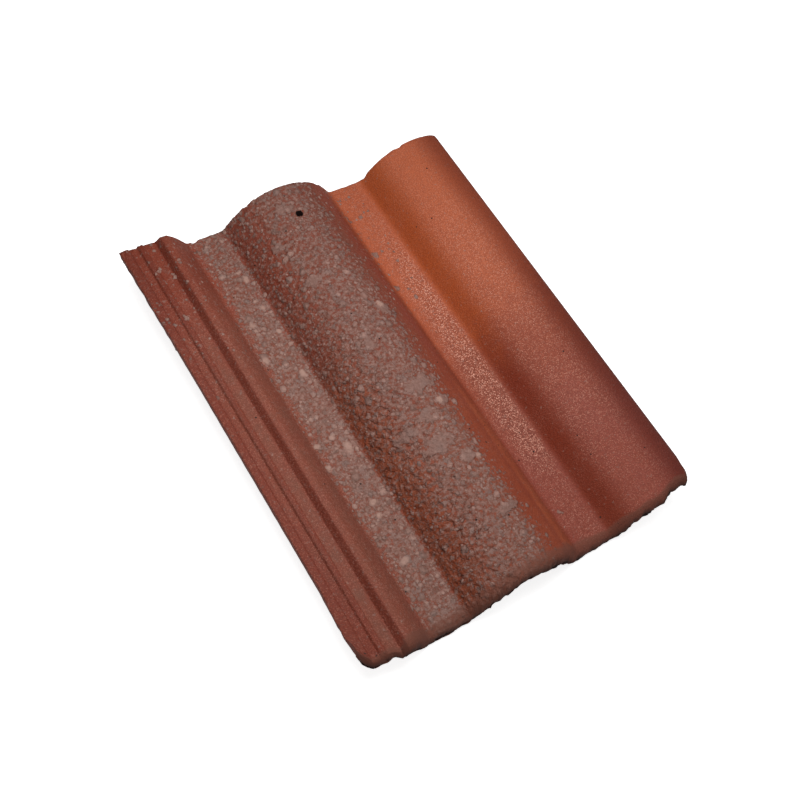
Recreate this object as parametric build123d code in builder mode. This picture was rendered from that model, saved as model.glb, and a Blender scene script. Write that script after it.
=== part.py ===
from build123d import *
from math import asin, atan, cos, degrees, radians, sin, sqrt, tan
import os

os.makedirs("parts", exist_ok=True)

# An extruded concrete roof tile with two rolls and two flat pans. A ribbed lock along its left
# edge goes under the next tile's right edge. It is drawn with X across the slope from the left
# edge, Y up the slope from the tail, and Z up from the top face of the pans, in millimetres.

# Overall size
length = 420.0
width = 332.0
wall = 12.0

# Rolls: an arc on top, straight flanks, and rounded creases where the flanks meet the pans
roll_pitch = 150.0
roll_1_x = 155.5
roll_0_x = roll_1_x - roll_pitch
roll_2_x = roll_1_x + roll_pitch
roll_height = 36.5
roll_radius = 60.0
flank_angle = 54.0
top_crease_radius = 8.0
under_crease_radius = 10.0

# Left lock: an edge rib, a channel, a middle rib, a second channel, then the ridge's wall
lock_under_z = 9.0
lock_edge_draft = 1.5
channel_z = 19.0
lock_floor_z = 18.6
rib_z = 21.0
rib_flank = 1.4
edge_rib_width = 6.0
middle_rib_left = 14.0
middle_rib_right = 20.8
ridge_wall_foot = 31.0
ridge_x = 35.8
ridge_z = 25.4
ridge_crest_end = 42.0

# Right lock: a lip and a tooth that hang into the next tile's channels, clear of its ribs
shoulder_radius = 16.0
shoulder_end_angle = 60.0
lip_width = 9.5
lip_draft = 0.8
lip_z = 20.5
tooth_left = 308.4
tooth_right = 313.8
tooth_z = 20.7
tooth_flank = 1.0
lock_roof_z = 24.0

# Rounded nose along the top of the tail, and the worn arris along the head
nose_radius = 9.0
head_radius = 1.5

# The left lock stops short of the tail, and both tail corners are rounded off
lock_setback = 4.0
corner_radius = 20.0

# Nail hole through the first roll
nail_hole_radius = 3.0
nail_hole_x = 155.8
nail_hole_from_head = 34.6

# Nibs under the pans at the head, whose square tail-side faces hook over the batten
nib_width = 38.0
nib_drop = 13.0
nib_root_depth = 18.0
nib_tip_depth = 12.0
nib_face_from_head = 30.0

# Weather bars across the underside at the tail
bar_drop = 3.5
bar_width = 6.0
bar_places = (12.0, 44.0)

# Values worked out from the ones above
inner_radius = roll_radius - wall
roll_centre_z = roll_height - roll_radius
lip_left = width - lip_width
crown_end_x = tooth_left - tooth_flank
bar_radius = inner_radius - bar_drop
pan_middles = (roll_1_x - roll_pitch / 2, roll_1_x + roll_pitch / 2)
nib_face_y = length - nib_face_from_head
nib_z = -wall - nib_drop
bar_z = -wall - bar_drop
lie_angle = degrees(atan((bar_z - nib_z) / (nib_face_y - bar_places[0])))


def crown_z(radius, x, centre):
    """Height of a roll's arc above a place across the tile."""
    return roll_centre_z + sqrt(radius**2 - (x - centre) ** 2)


def arc_angle(radius, x, centre):
    """Angle from a roll's top to a place across the tile, left negative."""
    return degrees(asin((x - centre) / radius))


def flank_top(radius, centre, side):
    """Point where a roll's arc runs into its flank, on side -1 or 1."""
    angle = radians(flank_angle)
    return (centre + side * radius * sin(angle), roll_centre_z + radius * cos(angle))


def flank_foot(radius, centre, side, level):
    """Point where a roll's flank meets a level, on side -1 or 1."""
    x, z = flank_top(radius, 0, 1)
    return (centre + side * (x + (z - level) / tan(radians(flank_angle))), level)


# The right shoulder's arc, tangent to the second roll's
shoulder_x = width - shoulder_radius * sin(radians(shoulder_end_angle))
shoulder_angle = arc_angle(roll_radius - shoulder_radius, shoulder_x, roll_2_x)
shoulder_z = crown_z(roll_radius - shoulder_radius, shoulder_x, roll_2_x)
shoulder_end_z = shoulder_z + shoulder_radius * cos(radians(shoulder_end_angle))

# Where the underside's arcs end: at the lock's flat underside, and at the tooth
lock_meet_x = roll_0_x + sqrt(inner_radius**2 - (lock_under_z - roll_centre_z) ** 2)
crown_end_angle = arc_angle(inner_radius, crown_end_x, roll_2_x)


def roll_arc(radius, centre, first, last):
    """Arc of a roll between two angles from its top."""
    CenterArc((centre, roll_centre_z), radius, 90 - first, first - last)


def valley(radius, level, left, right):
    """Flank of the roll at left, the pan, and the flank of the roll at right."""
    Polyline(
        flank_top(radius, left, 1),
        flank_foot(radius, left, 1, level),
        flank_foot(radius, right, -1, level),
        flank_top(radius, right, -1),
    )


def wave_line(radius, level, left_x, right_angle):
    """Rolls and pans of one face, from the left roll's right half to the second roll's crown."""
    roll_arc(radius, roll_0_x, arc_angle(radius, left_x, roll_0_x), flank_angle)
    valley(radius, level, roll_0_x, roll_1_x)
    roll_arc(radius, roll_1_x, -flank_angle, flank_angle)
    valley(radius, level, roll_1_x, roll_2_x)
    roll_arc(radius, roll_2_x, -flank_angle, right_angle)


def wave_ends(radius, left_x):
    """Both end points of the line along an underside."""
    right_x = roll_2_x + radius * sin(radians(crown_end_angle))
    return ((left_x, crown_z(radius, left_x, roll_0_x)), (right_x, crown_z(radius, right_x, roll_2_x)))


def creases(sketch, level):
    """Corners of a section where the flanks meet a pan's level."""
    return sketch.vertices().filter_by(lambda corner: round(corner.Y, 2) == level)


def top_line(x):
    """Height of the tile's upper face above a place across it, creases left sharp."""
    if x > width - lip_draft:
        return lip_z
    heights = [0.0]
    start_x, start_z = flank_top(roll_radius, 0, 1)
    for centre in (roll_0_x, roll_1_x, roll_2_x):
        offset = abs(x - centre)
        if offset <= start_x:
            heights.append(crown_z(roll_radius, x, centre))
        else:
            heights.append(start_z - (offset - start_x) * tan(radians(flank_angle)))
    return max(heights)


def on_top(edge):
    """Whether an edge of an end face belongs to its upper outline, from the ridge to the lip."""
    middle = edge @ 0.5
    return middle.X > ridge_x and middle.Z > top_line(middle.X) - wall / 2


with BuildPart() as body:
    # The section, the same all the way up the tile
    with BuildSketch(Plane.XZ) as section:
        with BuildLine():
            Polyline(
                (lock_meet_x, lock_under_z),
                (lock_edge_draft, lock_under_z),
                (0, rib_z),
                (edge_rib_width, rib_z),
                (edge_rib_width + rib_flank, channel_z),
                (middle_rib_left, channel_z),
                (middle_rib_left + rib_flank, rib_z),
                (middle_rib_right - rib_flank, rib_z),
                (middle_rib_right, lock_floor_z),
                (ridge_wall_foot, lock_floor_z),
                (ridge_x, ridge_z),
                (ridge_crest_end, crown_z(roll_radius, ridge_crest_end, roll_0_x)),
            )
            wave_line(roll_radius, 0, ridge_crest_end, shoulder_angle)
            CenterArc(
                (shoulder_x, shoulder_z),
                shoulder_radius,
                90 - shoulder_angle,
                shoulder_angle - shoulder_end_angle,
            )
            Polyline(
                (width, shoulder_end_z),
                (width - lip_draft, lip_z),
                (lip_left, lip_z),
                (lip_left - tooth_flank, lock_roof_z),
                (tooth_right + tooth_flank, lock_roof_z),
                (tooth_right, tooth_z),
                (tooth_left, tooth_z),
                (crown_end_x, crown_z(inner_radius, crown_end_x, roll_2_x)),
            )
            wave_line(inner_radius, -wall, lock_meet_x, crown_end_angle)
        make_face()
        fillet(creases(section, 0), radius=top_crease_radius)
        fillet(creases(section, -wall), radius=under_crease_radius)
    extrude(amount=-length)

    # Rounded nose along the top of the tail, and the worn arris of the head
    tail = body.faces().sort_by(Axis.Y)[0]
    fillet(tail.edges().filter_by(on_top), radius=nose_radius)
    head = body.faces().sort_by(Axis.Y)[-1]
    fillet(head.edges().filter_by(on_top), radius=head_radius)

    # The left lock ends short of the tail in the same nose, cut straight across its ribs
    with BuildSketch(Plane.YZ):
        Rectangle(lock_setback, rib_z, align=Align.MIN)
        with Locations((lock_setback, rib_z - nose_radius)):
            Rectangle(nose_radius, nose_radius, align=Align.MIN)
        with Locations((lock_setback + nose_radius, rib_z - nose_radius)):
            Circle(nose_radius, mode=Mode.SUBTRACT)
    extrude(amount=ridge_wall_foot, mode=Mode.SUBTRACT)

    # Rounded corners of the tail, seen from above
    with BuildSketch():
        for corner_x, centre_x in ((0, corner_radius), (width, width - corner_radius)):
            with Locations(((corner_x + centre_x) / 2, corner_radius / 2)):
                Rectangle(corner_radius, corner_radius)
            with Locations((centre_x, corner_radius)):
                Circle(corner_radius, mode=Mode.SUBTRACT)
    extrude(amount=roll_height, mode=Mode.SUBTRACT)

    # Weather bars that follow the underside from the left roll to the second roll's crown
    for place in bar_places:
        with BuildSketch(Plane.XZ.offset(-place)):
            with BuildLine():
                wave_line(inner_radius, -wall, lock_meet_x, crown_end_angle)
                wave_line(bar_radius, bar_z, lock_meet_x - bar_drop, crown_end_angle)
                for upper, lower in zip(
                    wave_ends(inner_radius, lock_meet_x), wave_ends(bar_radius, lock_meet_x - bar_drop)
                ):
                    Line(upper, lower)
            make_face()
        extrude(amount=-bar_width)

    # Nibs under the pans
    for middle in pan_middles:
        with BuildSketch(Plane.YZ.offset(middle)):
            with BuildLine():
                Polyline(
                    (nib_face_y, -wall / 2),
                    (nib_face_y, nib_z),
                    (nib_face_y + nib_tip_depth, nib_z),
                    (nib_face_y + nib_root_depth, -wall),
                    (nib_face_y + nib_root_depth, -wall / 2),
                    close=True,
                )
            make_face()
        extrude(amount=nib_width / 2, both=True)

    # Nail hole
    with Locations((nail_hole_x, length - nail_hole_from_head, roll_height)):
        Hole(nail_hole_radius)

# The tile as it lies on a level floor, on its nibs and the first weather bar
lying = body.part.rotate(Axis.X, lie_angle)
box = lying.bounding_box()
with BuildPart() as roof_tile:
    add(lying.translate((-box.center().X, -box.center().Y, -box.min.Z)))
roof_tile.part.label = "roof_tile"
export_step(roof_tile.part, "parts/roof_tile.step")
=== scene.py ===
"""Interlocking concrete roof tile: its worn, slurry-coated body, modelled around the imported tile."""

import logging
from collections.abc import Callable
from dataclasses import dataclass, field
from enum import Enum
from math import asin, atan, ceil, cos, pi, radians, sin, tan

import bmesh
import bpy
import numpy as np
from mathutils import Matrix, Vector, noise


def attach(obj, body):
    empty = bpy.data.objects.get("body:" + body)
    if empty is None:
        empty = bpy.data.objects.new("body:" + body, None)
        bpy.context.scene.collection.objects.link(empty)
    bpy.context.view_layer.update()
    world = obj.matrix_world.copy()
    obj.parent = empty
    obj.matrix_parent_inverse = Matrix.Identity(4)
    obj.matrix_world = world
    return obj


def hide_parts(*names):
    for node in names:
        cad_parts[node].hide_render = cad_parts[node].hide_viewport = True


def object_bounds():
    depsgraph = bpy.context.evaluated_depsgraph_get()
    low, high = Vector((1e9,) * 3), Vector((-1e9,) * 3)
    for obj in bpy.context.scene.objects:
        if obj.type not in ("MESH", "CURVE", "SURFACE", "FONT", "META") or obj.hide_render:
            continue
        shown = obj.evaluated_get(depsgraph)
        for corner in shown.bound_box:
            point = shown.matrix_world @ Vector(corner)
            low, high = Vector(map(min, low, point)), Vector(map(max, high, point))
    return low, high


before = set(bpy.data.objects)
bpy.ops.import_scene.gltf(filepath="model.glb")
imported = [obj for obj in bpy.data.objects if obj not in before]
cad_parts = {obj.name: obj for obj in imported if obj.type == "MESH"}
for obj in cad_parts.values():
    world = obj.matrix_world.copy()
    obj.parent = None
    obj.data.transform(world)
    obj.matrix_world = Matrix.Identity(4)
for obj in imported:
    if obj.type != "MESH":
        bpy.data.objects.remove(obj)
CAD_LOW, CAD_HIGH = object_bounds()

NODE = "roof_tile"
BODY = "root"
HAIR = 1e-5
UPPER_SKIN = 0.05
LOWER_SKIN = 0.95

log = logging.getLogger("roof_tile")


class Side(Enum):
    """The two sides of a roll, as signs across the tile."""

    LEFT = -1
    RIGHT = 1


@dataclass(frozen=True)
class Corner:
    """A corner of the section, rounded to a radius."""

    x: float
    z: float
    radius: float = 0.0


def smooth(low: float, high: float, value: np.ndarray) -> np.ndarray:
    """Soft step from 0 at low to 1 at high.

    Args:
        low: Value where the step starts.
        high: Value where the step ends; it may be the lower one.
        value: Values to step.

    Returns:
        The steps, from 0 to 1.
    """
    share = np.clip((value - low) / (high - low), 0.0, 1.0)
    return share * share * (3.0 - 2.0 * share)


def waver(points: np.ndarray, wavelength: float, seed: float = 0.0) -> np.ndarray:
    """Smooth noise at points.

    Args:
        points: Rows of three coordinates in metres.
        wavelength: Distance over which the noise changes.
        seed: Shift that gives another pattern.

    Returns:
        One value for each point, about -1 to 1.
    """
    shift = Vector((seed, 2.3 * seed, 0.7 * seed))
    return np.array([noise.noise(Vector(point) / wavelength + shift) for point in points])


@dataclass(frozen=True)
class Section:
    """The tile's section, the same all the way up it: X across, Z up from the pans, in metres."""

    width: float = 0.332
    wall: float = 0.012
    first_roll: float = 0.1555
    roll_pitch: float = 0.150
    roll_height: float = 0.0365
    roll_radius: float = 0.060
    flank_angle: float = radians(54.0)
    top_crease: float = 0.008
    under_crease: float = 0.010
    lock_under: float = 0.009
    edge_draft: float = 0.0015
    rib_top: float = 0.021
    channel_floor: float = 0.019
    lock_floor: float = 0.0186
    rib_flank: float = 0.0014
    edge_rib: float = 0.006
    middle_rib: tuple[float, float] = (0.014, 0.0208)
    ridge_foot: float = 0.031
    ridge_crest: tuple[float, float] = (0.0358, 0.0254)
    ridge_end: float = 0.042
    rib_round: float = 0.0007
    shoulder_radius: float = 0.016
    shoulder_end: float = radians(60.0)
    lip_width: float = 0.0095
    lip_draft: float = 0.0008
    lip_z: float = 0.0205
    tooth: tuple[float, float] = (0.3084, 0.3138)
    tooth_z: float = 0.0207
    tooth_flank: float = 0.001
    lock_roof: float = 0.024
    fine_pitch: float = 0.00145
    top_pitch: float = 0.0023
    under_pitch: float = 0.0026
    fine_band: tuple[float, float] = (0.060, 0.214)

    @property
    def rolls(self) -> tuple[float, float, float]:
        """Places of the cut left roll and the two whole ones, across the tile."""
        return (self.first_roll - self.roll_pitch, self.first_roll, self.first_roll + self.roll_pitch)

    @property
    def pans(self) -> tuple[float, float]:
        """Middles of the two pans, across the tile."""
        return (self.first_roll - self.roll_pitch / 2, self.first_roll + self.roll_pitch / 2)

    @property
    def roll_centre(self) -> float:
        """Height of the rolls' arc centres."""
        return self.roll_height - self.roll_radius

    @property
    def inner_radius(self) -> float:
        """Radius of the rolls' undersides."""
        return self.roll_radius - self.wall

    @property
    def crown_end(self) -> float:
        """Place where the second roll's underside meets the tooth."""
        return self.tooth[0] - self.tooth_flank

    @property
    def meet_angle(self) -> float:
        """Angle of the left roll's underside where the lock's flat underside meets it."""
        return pi / 2 - asin((self.lock_under - self.roll_centre) / self.inner_radius)

    def on_arc(self, radius: float, centre: float, angle: float) -> Corner:
        """Point of a roll's arc at an angle from its top."""
        return Corner(centre + radius * sin(angle), self.roll_centre + radius * cos(angle))

    def crown(self, radius: float, centre: float, first: float, last: float) -> Corner:
        """The one corner whose rounding is a roll's arc between two angles from its top."""
        point = self.on_arc(radius / cos((last - first) / 2), centre, (first + last) / 2)
        return Corner(point.x, point.z, radius)

    def foot(self, radius: float, centre: float, side: Side, level: float) -> tuple[float, float]:
        """Point where a roll's flank meets a level."""
        top = self.on_arc(radius, 0.0, self.flank_angle)
        return (centre + side.value * (top.x + (top.z - level) / tan(self.flank_angle)), level)

    def valley(self, radius: float, level: float, left: float, right: float, crease: float) -> list[Corner]:
        """The two creases of the pan between two rolls.

        Args:
            radius: Radius of the rolls on this face.
            level: Height of the pan.
            left: Place of the roll on the left.
            right: Place of the roll on the right.
            crease: Radius that the creases are rounded to.

        Returns:
            The left crease and the right one.
        """
        return [
            Corner(*self.foot(radius, left, Side.RIGHT, level), crease),
            Corner(*self.foot(radius, right, Side.LEFT, level), crease),
        ]

    def upper(self) -> list[Corner]:
        """Corners of the upper face.

        Returns:
            The corners, from the underside's left edge to the lip's lower edge.
        """
        zero, one, two = self.rolls
        big, flank = self.roll_radius, self.flank_angle
        rib_left, rib_right = self.middle_rib
        ridge_angle = asin((self.ridge_end - zero) / big)
        shoulder_x = self.width - self.shoulder_radius * sin(self.shoulder_end)
        shoulder_angle = asin((shoulder_x - two) / (big - self.shoulder_radius))
        shoulder_z = self.roll_centre + (big - self.shoulder_radius) * cos(shoulder_angle)
        half_turn = (self.shoulder_end - shoulder_angle) / 2
        reach = self.shoulder_radius / cos(half_turn)
        soft = self.rib_round
        return [
            Corner(self.edge_draft, self.lock_under),
            Corner(0.0, self.rib_top, soft),
            Corner(self.edge_rib, self.rib_top, soft),
            Corner(self.edge_rib + self.rib_flank, self.channel_floor, soft),
            Corner(rib_left, self.channel_floor, soft),
            Corner(rib_left + self.rib_flank, self.rib_top, soft),
            Corner(rib_right - self.rib_flank, self.rib_top, soft),
            Corner(rib_right, self.lock_floor, soft),
            Corner(self.ridge_foot, self.lock_floor, soft),
            Corner(*self.ridge_crest, 2 * soft),
            self.on_arc(big, zero, ridge_angle),
            self.crown(big, zero, ridge_angle, flank),
            *self.valley(big, 0.0, zero, one, self.top_crease),
            self.crown(big, one, -flank, flank),
            *self.valley(big, 0.0, one, two, self.top_crease),
            self.crown(big, two, -flank, shoulder_angle),
            Corner(
                shoulder_x + reach * sin(shoulder_angle + half_turn),
                shoulder_z + reach * cos(shoulder_angle + half_turn),
                self.shoulder_radius,
            ),
            Corner(self.width, shoulder_z + self.shoulder_radius * cos(self.shoulder_end)),
            Corner(self.width - self.lip_draft, self.lip_z),
        ]

    def lower(self) -> list[Corner]:
        """Corners of the underside.

        Returns:
            The corners, from the lip's lower edge back to the left edge.
        """
        zero, one, two = self.rolls
        small, flank = self.inner_radius, self.flank_angle
        lip_left = self.width - self.lip_width
        tooth_left, tooth_right = self.tooth
        end_angle = asin((self.crown_end - two) / small)
        left_pan = self.valley(small, -self.wall, zero, one, self.under_crease)
        right_pan = self.valley(small, -self.wall, one, two, self.under_crease)
        return [
            Corner(self.width - self.lip_draft, self.lip_z),
            Corner(lip_left, self.lip_z),
            Corner(lip_left - self.tooth_flank, self.lock_roof),
            Corner(tooth_right + self.tooth_flank, self.lock_roof),
            Corner(tooth_right, self.tooth_z),
            Corner(tooth_left, self.tooth_z),
            self.on_arc(small, two, end_angle),
            self.crown(small, two, -flank, end_angle),
            *reversed(right_pan),
            self.crown(small, one, -flank, flank),
            *reversed(left_pan),
            self.crown(small, zero, self.meet_angle, flank),
            self.on_arc(small, zero, self.meet_angle),
            Corner(self.edge_draft, self.lock_under),
        ]

    def pitch(self, x: float) -> float:
        """Distance between points of the upper face: finer where the slurry lies."""
        left, right = self.fine_band
        return self.fine_pitch if left < x < right else self.top_pitch


class Bench:
    """Adds and joins nodes in one tree: a material's, the world's, a group's or a modifier's."""

    def __init__(self, tree: bpy.types.NodeTree) -> None:
        """Takes the tree to work in.

        Args:
            tree: The node tree.
        """
        self.tree = tree

    def add(self, kind: str, **settings: object) -> bpy.types.Node:
        """Adds a node.

        Args:
            kind: The node's type.
            settings: Properties to set on it.

        Returns:
            The node.
        """
        node = self.tree.nodes.new(kind)
        for name, value in settings.items():
            setattr(node, name, value)
        return node

    def join(self, source: object, target: bpy.types.NodeSocket) -> None:
        """Links a socket to an input, or sets the input to a plain value.

        Args:
            source: The socket or the value.
            target: The input.
        """
        if isinstance(source, bpy.types.NodeSocket):
            self.tree.links.new(source, target)
        else:
            target.default_value = source

    def wired(
        self, node: bpy.types.Node, given: dict[int | str, object], output: int = 0
    ) -> bpy.types.NodeSocket:
        """Joins several inputs of a node.

        Args:
            node: The node.
            given: A socket or a plain value for each input, by its number or name.
            output: Number of the output that is wanted.

        Returns:
            That output.
        """
        for place, value in given.items():
            self.join(value, node.inputs[place])
        return node.outputs[output]

    def maths(self, operation: str, *values: object, clamp: bool = False) -> bpy.types.NodeSocket:
        """A Math node on sockets or numbers."""
        node = self.add("ShaderNodeMath", operation=operation, use_clamp=clamp)
        return self.wired(node, dict(enumerate(values)))

    def times(self, one: object, other: object) -> bpy.types.NodeSocket:
        """The product of two sockets or numbers."""
        return self.maths("MULTIPLY", one, other)

    def less(self, value: object, taken: object) -> bpy.types.NodeSocket:
        """A socket or number with another taken from it."""
        return self.maths("SUBTRACT", value, taken)

    def line(self, value: object, slope: object, start: object, clamp: bool = False) -> bpy.types.NodeSocket:
        """A value times a slope, plus a start."""
        return self.maths("MULTIPLY_ADD", value, slope, start, clamp=clamp)

    def blend(self, share: object, low: object, high: object) -> bpy.types.NodeSocket:
        """Goes from low to high as share goes from 0 to 1."""
        return self.wired(self.add("ShaderNodeMix", data_type="FLOAT"), {0: share, 2: low, 3: high})

    def tinge(self, share: object, low: object, high: object, mode: str = "MIX") -> bpy.types.NodeSocket:
        """Blends one colour into another, from low to high as share goes from 0 to 1."""
        node = self.add("ShaderNodeMix", data_type="RGBA", blend_type=mode)
        return self.wired(node, {0: share, 6: low, 7: high}, 2)

    def darken(self, share: object, color: object, shade: object) -> bpy.types.NodeSocket:
        """Multiplies a colour by a shade, as far as share says."""
        return self.tinge(share, color, shade, "MULTIPLY")

    def step(self, value: object, low: float, high: float, to: float = 1.0) -> bpy.types.NodeSocket:
        """Soft step from 0 at low up to a value at high."""
        node = self.add("ShaderNodeMapRange", interpolation_type="SMOOTHSTEP")
        return self.wired(node, {0: value, 1: low, 2: high, 3: 0.0, 4: to})

    def vectors(self, operation: str, *values: object) -> bpy.types.NodeSocket:
        """A Vector Math node on sockets or vectors."""
        return self.wired(self.add("ShaderNodeVectorMath", operation=operation), dict(enumerate(values)))

    def scaled(self, vector: object, factor: object) -> bpy.types.NodeSocket:
        """A vector times a number or socket."""
        return self.wired(self.add("ShaderNodeVectorMath", operation="SCALE"), {0: vector, "Scale": factor})

    def grain(self, at: object, size: float, detail: float = 2.0, rough: float = 0.5) -> bpy.types.Node:
        """Cloudy noise.

        Args:
            at: Place to take it at.
            size: About how large its largest shapes are, in metres.
            detail: How many finer layers it has.
            rough: How strong they are.

        Returns:
            The node.
        """
        node = self.add("ShaderNodeTexNoise")
        self.wired(node, {"Vector": at, "Scale": 1.0 / size, "Detail": detail, "Roughness": rough})
        return node

    def pebbles(self, at: object, size: float, feature: str = "F1") -> bpy.types.Node:
        """Cells.

        Args:
            at: Place to take them at.
            size: About how large they are, in metres.
            feature: What is measured in them.

        Returns:
            The node.
        """
        node = self.add("ShaderNodeTexVoronoi", feature=feature)
        self.wired(node, {"Vector": at, "Scale": 1.0 / size})
        return node

    def parts(self, vector: bpy.types.NodeSocket) -> list[bpy.types.NodeSocket]:
        """The three parts of a vector or colour.

        Args:
            vector: The vector or colour.

        Returns:
            Its parts in order.
        """
        node = self.add("ShaderNodeSeparateXYZ")
        self.join(vector, node.inputs[0])
        return list(node.outputs)

    def wired_out(self, given: dict[str, bpy.types.NodeSocket]) -> None:
        """Joins a group's results to its outputs.

        Args:
            given: The results, by the outputs' names.
        """
        result = self.add("NodeGroupOutput").inputs
        for name, value in given.items():
            self.join(value, result[name])

    def painted(self, name: str, output: str = "Fac") -> bpy.types.NodeSocket:
        """An attribute of the mesh, in a material."""
        return self.add("ShaderNodeAttribute", attribute_name=name).outputs[output]

    def marked(self, name: str, kind: str = "FLOAT") -> bpy.types.NodeSocket:
        """An attribute of the mesh, in a modifier."""
        node = self.add("GeometryNodeInputNamedAttribute", data_type=kind)
        return self.wired(node, {"Name": name})


def group_bench(name: str, inputs: tuple[str, ...], outputs: tuple[str, ...]) -> Bench:
    """Starts a shader group that gives plain values.

    Args:
        name: The group's name.
        inputs: Names of its values, after the place on the unrolled surface.
        outputs: Names of what it gives.

    Returns:
        A bench on the group.
    """
    group = bpy.data.node_groups.new(name, "ShaderNodeTree")
    group.interface.new_socket("Laid", in_out="INPUT", socket_type="NodeSocketVector")
    for value in inputs:
        group.interface.new_socket(value, in_out="INPUT", socket_type="NodeSocketFloat")
    for value in outputs:
        group.interface.new_socket(value, in_out="OUTPUT", socket_type="NodeSocketFloat")
    return Bench(group)


@dataclass(frozen=True)
class Strip:
    """A strip across or up the tile: where it softly begins and ends, and its strength in and out of it."""

    begin: tuple[float, float] | None = None
    end: tuple[float, float] | None = None
    share: float = 1.0
    rest: float = 0.0

    def at(self, place: np.ndarray) -> np.ndarray:
        """The strip's strength at places.

        Args:
            place: Places across or up the tile, in metres.

        Returns:
            One value for each place, from the rest outside to the share inside.
        """
        inside = np.ones_like(place)
        if self.begin is not None:
            inside = inside * smooth(*self.begin, place)
        if self.end is not None:
            inside = inside * smooth(*reversed(self.end), place)
        return self.rest + (self.share - self.rest) * inside


@dataclass(frozen=True)
class Area:
    """A named part of the upper face: where a strip across the tile and a strip up it meet."""

    name: str
    across: Strip
    along: Strip = Strip()

    def at(self, drawn: np.ndarray) -> np.ndarray:
        """The area's strength at drawn places."""
        return self.across.at(drawn[:, 0]) * self.along.at(drawn[:, 1])


def strongest(areas: tuple[Area, ...], drawn: np.ndarray) -> np.ndarray:
    """The strength of the strongest of some areas at drawn places."""
    return np.max([area.at(drawn) for area in areas], axis=0)


@dataclass(frozen=True)
class Sway:
    """Smooth noise added to a value: its strength, its wavelength in metres and its pattern."""

    strength: float
    wavelength: float
    seed: float

    def at(self, drawn: np.ndarray) -> np.ndarray:
        """The noise at drawn places."""
        return self.strength * waver(drawn, self.wavelength, self.seed)


@dataclass(frozen=True)
class Blotch:
    """A patch of thick slurry: its place on the drawn tile and its half sizes, in metres."""

    x: float
    y: float
    wide: float
    long: float


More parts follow.
